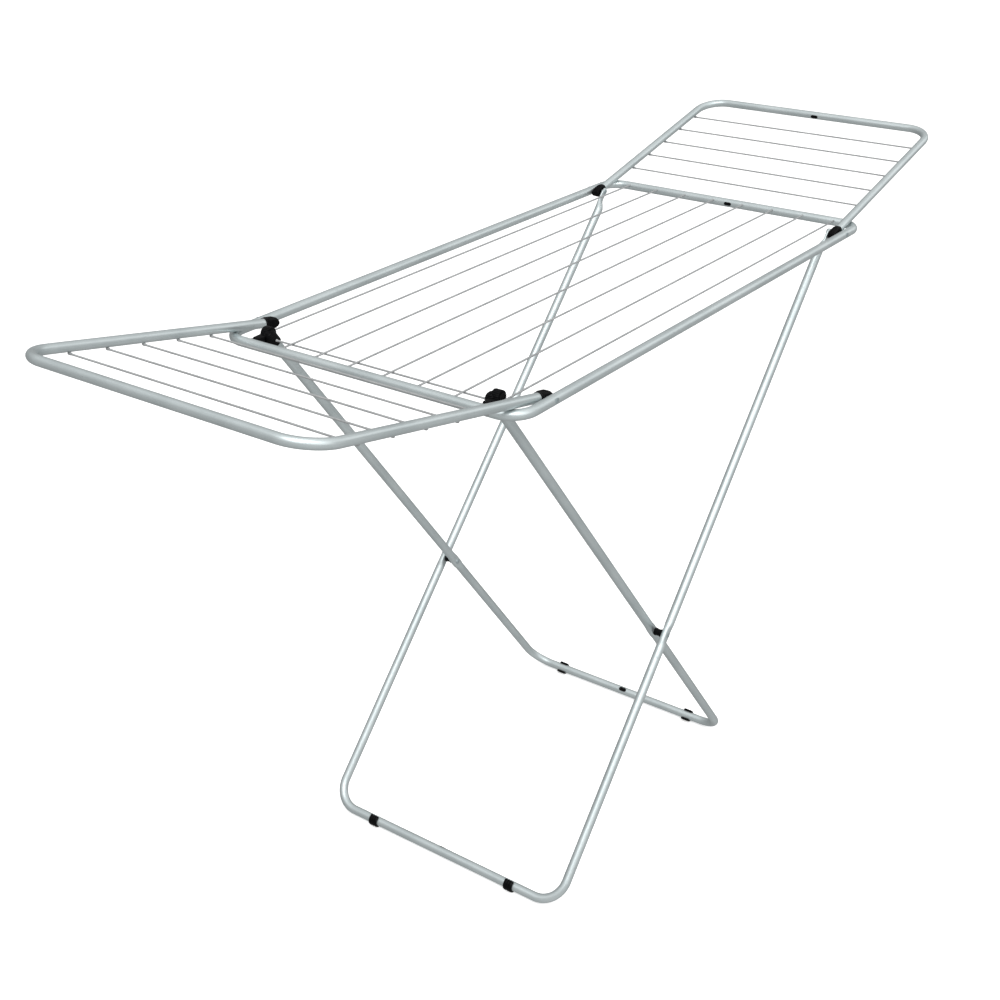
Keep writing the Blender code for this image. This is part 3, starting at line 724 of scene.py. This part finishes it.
def build_outer_leg():
    splay = (OUTER_FOOT_Y - OUTER_TOP_Y) / OUTER_LENGTH
    top_y = OUTER_TOP_Y - splay * OUTER_OVERRUN
    corners = [(-OUTER_OVERRUN, -top_y, 0.0), (OUTER_LENGTH, -OUTER_FOOT_Y, 0.0),
               (OUTER_LENGTH, OUTER_FOOT_Y, 0.0), (-OUTER_OVERRUN, top_y, 0.0)]
    presses = []
    for side in (-1, 1):
        presses.append((Vector((0.0, side * OUTER_TOP_Y, 0.0)), 0.015, 0.026, EAR_THIN, EAR_WIDE,
                        Vector((0.0, side * (EAR_Y - OUTER_TOP_Y), 0.0))))
        presses.append((Vector((-OUTER_OVERRUN, side * top_y, 0.0)), 0.0, 0.0085, 1.0, 0.55,
                        Vector()))
        presses.append((Vector((OUTER_LENGTH * SCISSOR_SHARE, side * OUTER_PIVOT_Y, 0.0)),
                        PIVOT_FLAT, PIVOT_FADE, PIVOT_THIN, PIVOT_WIDE, Vector()))
    shape = tube(bent_path(corners, LEG_BEND_R), TUBE_R, Z_AXIS, presses)
    piece("outer_leg_tube", shape, "outer_leg", "silver_paint", OUTER_PLACE)

    for side, where in SIDES:
        place = Matrix.Translation(SCISSOR) @ mirrored(side)
        low = INNER_PIVOT_Y - TUBE_R * PIVOT_THIN
        high = OUTER_PIVOT_Y + TUBE_R * PIVOT_THIN
        piece(f"scissor_pin_{where}", rivet(low, high), "outer_leg", "rivet_steel", place)
        piece(f"scissor_spacer_{where}", spacer(INNER_PIVOT_Y + TUBE_R * PIVOT_THIN,
                                                OUTER_PIVOT_Y - TUBE_R * PIVOT_THIN),
              "outer_leg", "black_plastic", place)
        build_foot(f"outer_leg_foot_{where}", "outer_leg", side, OUTER_FOOT, 1.0)
    inwards = (OUTER_PIN - OUTER_FOOT).normalized()
    bar_plug("outer_leg_plug", "outer_leg", OUTER_FOOT, inwards, 0.0008, 0.0140, 0.0056)


def bar_plug(node, body, bar, facing, sink, length, width):
    """The plug in a floor bar, on the side of the bar that faces up the leg."""
    across = Y_AXIS.cross(facing)
    turn = Matrix((Y_AXIS, facing, across)).transposed().to_4x4()
    piece(node, hole_plug(length, width), body, "black_plastic",
          Matrix.Translation(bar + facing * (TUBE_R - sink)) @ turn)


def spacer(low, high):
    """A collar with a raised band at each end."""
    radius, bore = SPACER_R, SPACER_BORE_R
    waist = radius - SPACER_WAIST
    profile = [(bore, low + 0.0002), (radius - 0.0005, low + 0.0002), (radius, low + 0.0008),
               (radius, low + 0.0030), (waist, low + 0.0038), (waist, high - 0.0038),
               (radius, high - 0.0030), (radius, high - 0.0008), (radius - 0.0005, high - 0.0002),
               (bore, high - 0.0002)]
    return turned(profile)


def build_inner_leg():
    corners = [(-INNER_ABOVE, -INNER_TOP_Y, 0.0), (INNER_BELOW, -INNER_FOOT_Y, 0.0),
               (INNER_BELOW, INNER_FOOT_Y, 0.0), (-INNER_ABOVE, INNER_TOP_Y, 0.0)]
    presses = [(Vector((0.0, side * INNER_PIVOT_Y, 0.0)), PIVOT_FLAT, PIVOT_FADE, PIVOT_THIN,
                PIVOT_WIDE, Vector()) for side in (-1, 1)]
    shape = tube(bent_path(corners, LEG_BEND_R), TUBE_R, Z_AXIS, presses)
    piece("inner_leg_tube", shape, "inner_leg", "silver_paint", INNER_PLACE)
    for side, where in SIDES:
        build_foot(f"inner_leg_foot_{where}", "inner_leg", side, INNER_FOOT, -1.0)
    inwards = (SCISSOR - INNER_FOOT).normalized()
    bar_plug("inner_leg_plug", "inner_leg", INNER_FOOT, inwards, 0.0, 0.0160, 0.0080)


def build_foot(node, body, side, bar, inward):
    """A snap-on clip round a floor bar, ribbed, with thick lips and a flat sole."""
    start = FOOT_OPENING_AT + FOOT_OPENING / 2
    end = FOOT_OPENING_AT - FOOT_OPENING / 2 + 360.0
    inner, outer, half = FOOT_INNER_R, FOOT_OUTER_R, FOOT_HALF_LENGTH
    section = [(inner, -half + 0.0004), (inner + 0.0004, -half), (outer - 0.0007, -half),
               (outer - 0.0001, -half + 0.0007)]
    for rib in range(3):
        middle_y = (rib - 1) * 0.0047
        section += [(outer, middle_y - 0.0018), (outer + 0.0003, middle_y - 0.0012),
                    (outer + 0.0003, middle_y + 0.0012), (outer, middle_y + 0.0018)]
        if rib < 2:
            section += [(outer - 0.0006, middle_y + 0.00235)]
    section += [(outer - 0.0001, half - 0.0007), (outer - 0.0007, half),
                (inner + 0.0004, half), (inner, half - 0.0004)]
    rings = []
    steps = 56
    for step in range(steps + 1):
        degrees = start + (end - start) * step / steps
        from_lip = min(degrees - start, end - degrees)
        bulge = 1.0 + FOOT_LIP_SWELL * (1 - smooth_step(from_lip / FOOT_LIP))
        close = math.sqrt(max(0.02, 1 - (1 - min(1.0, from_lip / 6.0)) ** 2))
        angle = math.radians(degrees)
        thick = (inner + outer) / 2
        ring = []
        for radius, y in section:
            reach = thick + (radius - thick) * close
            if radius > thick:
                reach = thick + (radius - thick) * bulge * close
            z = max(reach * math.sin(angle), -bar.z + 0.00002)
            ring.append(Vector((inward * reach * math.cos(angle), y, z)))
        rings.append(ring)
    shape = bmesh.new()
    ring_band(shape, rings)
    bmesh.ops.recalc_face_normals(shape, faces=shape.faces)
    foot_y = abs(middle(node).y)
    piece(node, shape, body, "black_plastic", at(bar.x, side * foot_y, bar.z))


# --- Leg hooks -------------------------------------------------------------------------
def build_hook(side, where):
    """The cap on the inner leg's end: a ribbed sleeve and a round head with a jaw on the bar."""
    node = f"inner_leg_hook_{where}"
    end = INNER_PLACE @ Vector((-INNER_ABOVE, side * INNER_TOP_Y, 0.0))
    foot = INNER_PLACE @ Vector((INNER_BELOW, side * INNER_FOOT_Y, 0.0))
    bar = (RACK_MIDDLE.x - HALF_LENGTH, RACK_MIDDLE.z)
    head = (end.x + HOOK_HEAD_OFFSET[0], end.z + HOOK_HEAD_OFFSET[1])
    rim = []
    for step in range(73):
        degrees = -60 + 232 * step / 72
        angle = math.radians(degrees)
        groove = 0.0005 * smooth_step(math.cos(angle * HOOK_RIM_RIBS) - 0.1)
        rim.append((head[0] + (HOOK_HEAD_R - groove) * math.cos(angle),
                    head[1] + (HOOK_HEAD_R - groove) * math.sin(angle)))
    lobe = arc(0.0034, 115, 215, 10, (bar[0] + 0.0118, bar[1] + 0.0042))
    centre_y = end.y + side * HOOK_OUTWARDS
    low_y, high_y = centre_y - HOOK_HALF_WIDTH, centre_y + HOOK_HALF_WIDTH
    outline = arc(HOOK_SADDLE_R, 12, -28, 10, bar) + rim + lobe
    shape = slab(outline, low_y, high_y, 0.0014)
    for face_y, outwards in ((low_y, -1), (high_y, 1)):
        boss = turned([(0.0070, face_y - outwards * 0.002), (0.0070, face_y + outwards * 0.0002),
                       (0.0066, face_y + outwards * 0.0006), (0.0052, face_y + outwards * 0.0006),
                       (0.0048, face_y + outwards * 0.0001), (0.0034, face_y + outwards * 0.0001),
                       (0.0030, face_y + outwards * 0.0006), (0.0002, face_y + outwards * 0.0009)])
        add_shell(shape, boss, at(head[0], 0.0, head[1]))

    radius, mouth, roof = SLEEVE_R, SLEEVE_LENGTH, SLEEVE_ROOF
    profile = [(0.0081, -0.0060), (0.0081, 0.0003 - mouth), (0.0084, -mouth),
               (radius - 0.0006, -mouth), (radius, 0.0006 - mouth), (radius, 0.0040 - mouth)]
    flank = mouth - 0.0045
    bow = radius * math.pi / 2
    for step in range(1, 100):
        travelled = (flank + roof + bow) * step / 100
        groove = SLEEVE_RIB_DEPTH * smooth_step(math.cos(math.tau * travelled / SLEEVE_RIB_PITCH)
                                                - 0.2)
        if travelled < flank + roof:
            profile.append((radius - groove, travelled - flank))
        else:
            angle = (travelled - flank - roof) / radius
            profile.append(((radius - groove) * math.cos(angle),
                            roof + (radius - groove) * math.sin(angle)))
    profile.append((0.0002, roof + radius))
    turn = (end - foot).to_track_quat("Y", "Z").to_matrix().to_4x4()
    add_shell(shape, turned(profile), Matrix.Translation(end) @ turn)
    piece(node, shape, "inner_leg", "black_plastic")


# --- Studio ----------------------------------------------------------------------------
def build_floor():
    shape = bmesh.new()
    bmesh.ops.create_grid(shape, x_segments=1, y_segments=1, size=30.0)
    mesh = bpy.data.meshes.new("floor")
    shape.to_mesh(mesh)
    shape.free()
    material = bpy.data.materials.new("floor_white")
    material.use_nodes = True
    shader = material.node_tree.nodes["Principled BSDF"]
    shader.inputs["Base Color"].default_value = (0.92, 0.92, 0.92, 1.0)
    shader.inputs["Roughness"].default_value = 0.9
    shader.inputs["Emission Color"].default_value = (1.0, 1.0, 1.0, 1.0)
    shader.inputs["Emission Strength"].default_value = 0.45
    mesh.materials.append(material)
    floor = bpy.data.objects.new("floor", mesh)
    bpy.context.scene.collection.objects.link(floor)
    floor.visible_glossy = False
    floor.visible_diffuse = False


def build_world():
    """White above and dim below, and brighter in front of the rack than behind it."""
    world = bpy.data.worlds.new("studio")
    world.use_nodes = True
    bpy.context.scene.world = world
    nodes, links = world.node_tree.nodes, world.node_tree.links
    place = nodes.new("ShaderNodeTexCoord")
    height = nodes.new("ShaderNodeSeparateXYZ")
    ramp = nodes.new("ShaderNodeValToRGB")
    shift = nodes.new("ShaderNodeMapRange")
    shift.inputs["From Min"].default_value = -1.0
    links.new(place.outputs["Generated"], height.inputs["Vector"])
    links.new(height.outputs["Z"], shift.inputs["Value"])
    links.new(shift.outputs["Result"], ramp.inputs["Fac"])
    # Brightness from straight down (0) through level (0.5) to straight up (1).
    levels = ((0.0, 0.50), (0.35, 0.47), (0.50, 0.44), (0.72, 0.58), (0.88, 0.95), (1.0, 1.05))
    for element, (position, level) in zip(ramp.color_ramp.elements, (levels[0], levels[-1])):
        element.position = position
        element.color = (level, level, level, 1.0)
    for position, level in levels[1:-1]:
        ramp.color_ramp.elements.new(position).color = (level, level, level, 1.0)
    links.new(ramp.outputs["Color"], nodes["Background"].inputs["Color"])
    towards = nodes.new("ShaderNodeVectorMath")
    towards.operation = "DOT_PRODUCT"
    towards.inputs[1].default_value = (-0.55, -0.83, 0.0)
    front = nodes.new("ShaderNodeMapRange")
    front.inputs["From Min"].default_value = -1.0
    front.inputs["To Min"].default_value = 0.60
    front.inputs["To Max"].default_value = 1.50
    links.new(place.outputs["Generated"], towards.inputs[0])
    links.new(towards.outputs["Value"], front.inputs["Value"])
    links.new(front.outputs["Result"], nodes["Background"].inputs["Strength"])


def add_light(name, place, target, size, power):
    data = bpy.data.lights.new(name, "AREA")
    data.shape = "DISK"
    data.size = size
    data.energy = power
    light = bpy.data.objects.new(name, data)
    bpy.context.scene.collection.objects.link(light)
    light.location = place
    light.rotation_euler = (Vector(target) - Vector(place)).to_track_quat("-Z", "Y").to_euler()


def build_lights():
    """Two large soft lights in front, and a weak one beyond the right wing for long highlights."""
    add_light("key", (-2.2, -0.8, 3.7), (-0.2, 0.0, 0.6), 3.2, 58.0)
    add_light("edge", (4.5, -2.4, 3.0), (-0.3, -0.3, 0.9), 3.2, 17.0)
    add_light("fill", (-1.3, -3.1, 2.8), (-0.1, 0.0, 0.5), 3.1, 22.0)


def build_camera():
    data = bpy.data.cameras.new("camera")
    data.sensor_width = CAMERA_SENSOR
    data.lens = CAMERA_LENS
    camera = bpy.data.objects.new("camera", data)
    bpy.context.scene.collection.objects.link(camera)
    camera.location = (RACK_MIDDLE.x + CAMERA_PLACE[0], CAMERA_PLACE[1], CAMERA_PLACE[2])
    heading, dip = math.radians(CAMERA_HEADING), math.radians(CAMERA_DIP)
    looking = Vector((math.cos(dip) * math.sin(heading), math.cos(dip) * math.cos(heading),
                      math.sin(dip)))
    camera.rotation_euler = looking.to_track_quat("-Z", "Y").to_euler()
    bpy.context.scene.camera = camera


build_centre_rack()
build_hinge_pins()
build_wing("left")
build_wing("right")
build_outer_leg()
build_inner_leg()
for hook_side, hook_where in SIDES:
    build_hook(hook_side, hook_where)
build_floor()
build_world()
build_lights()
build_camera()
bpy.context.scene.view_settings.view_transform = "Standard"
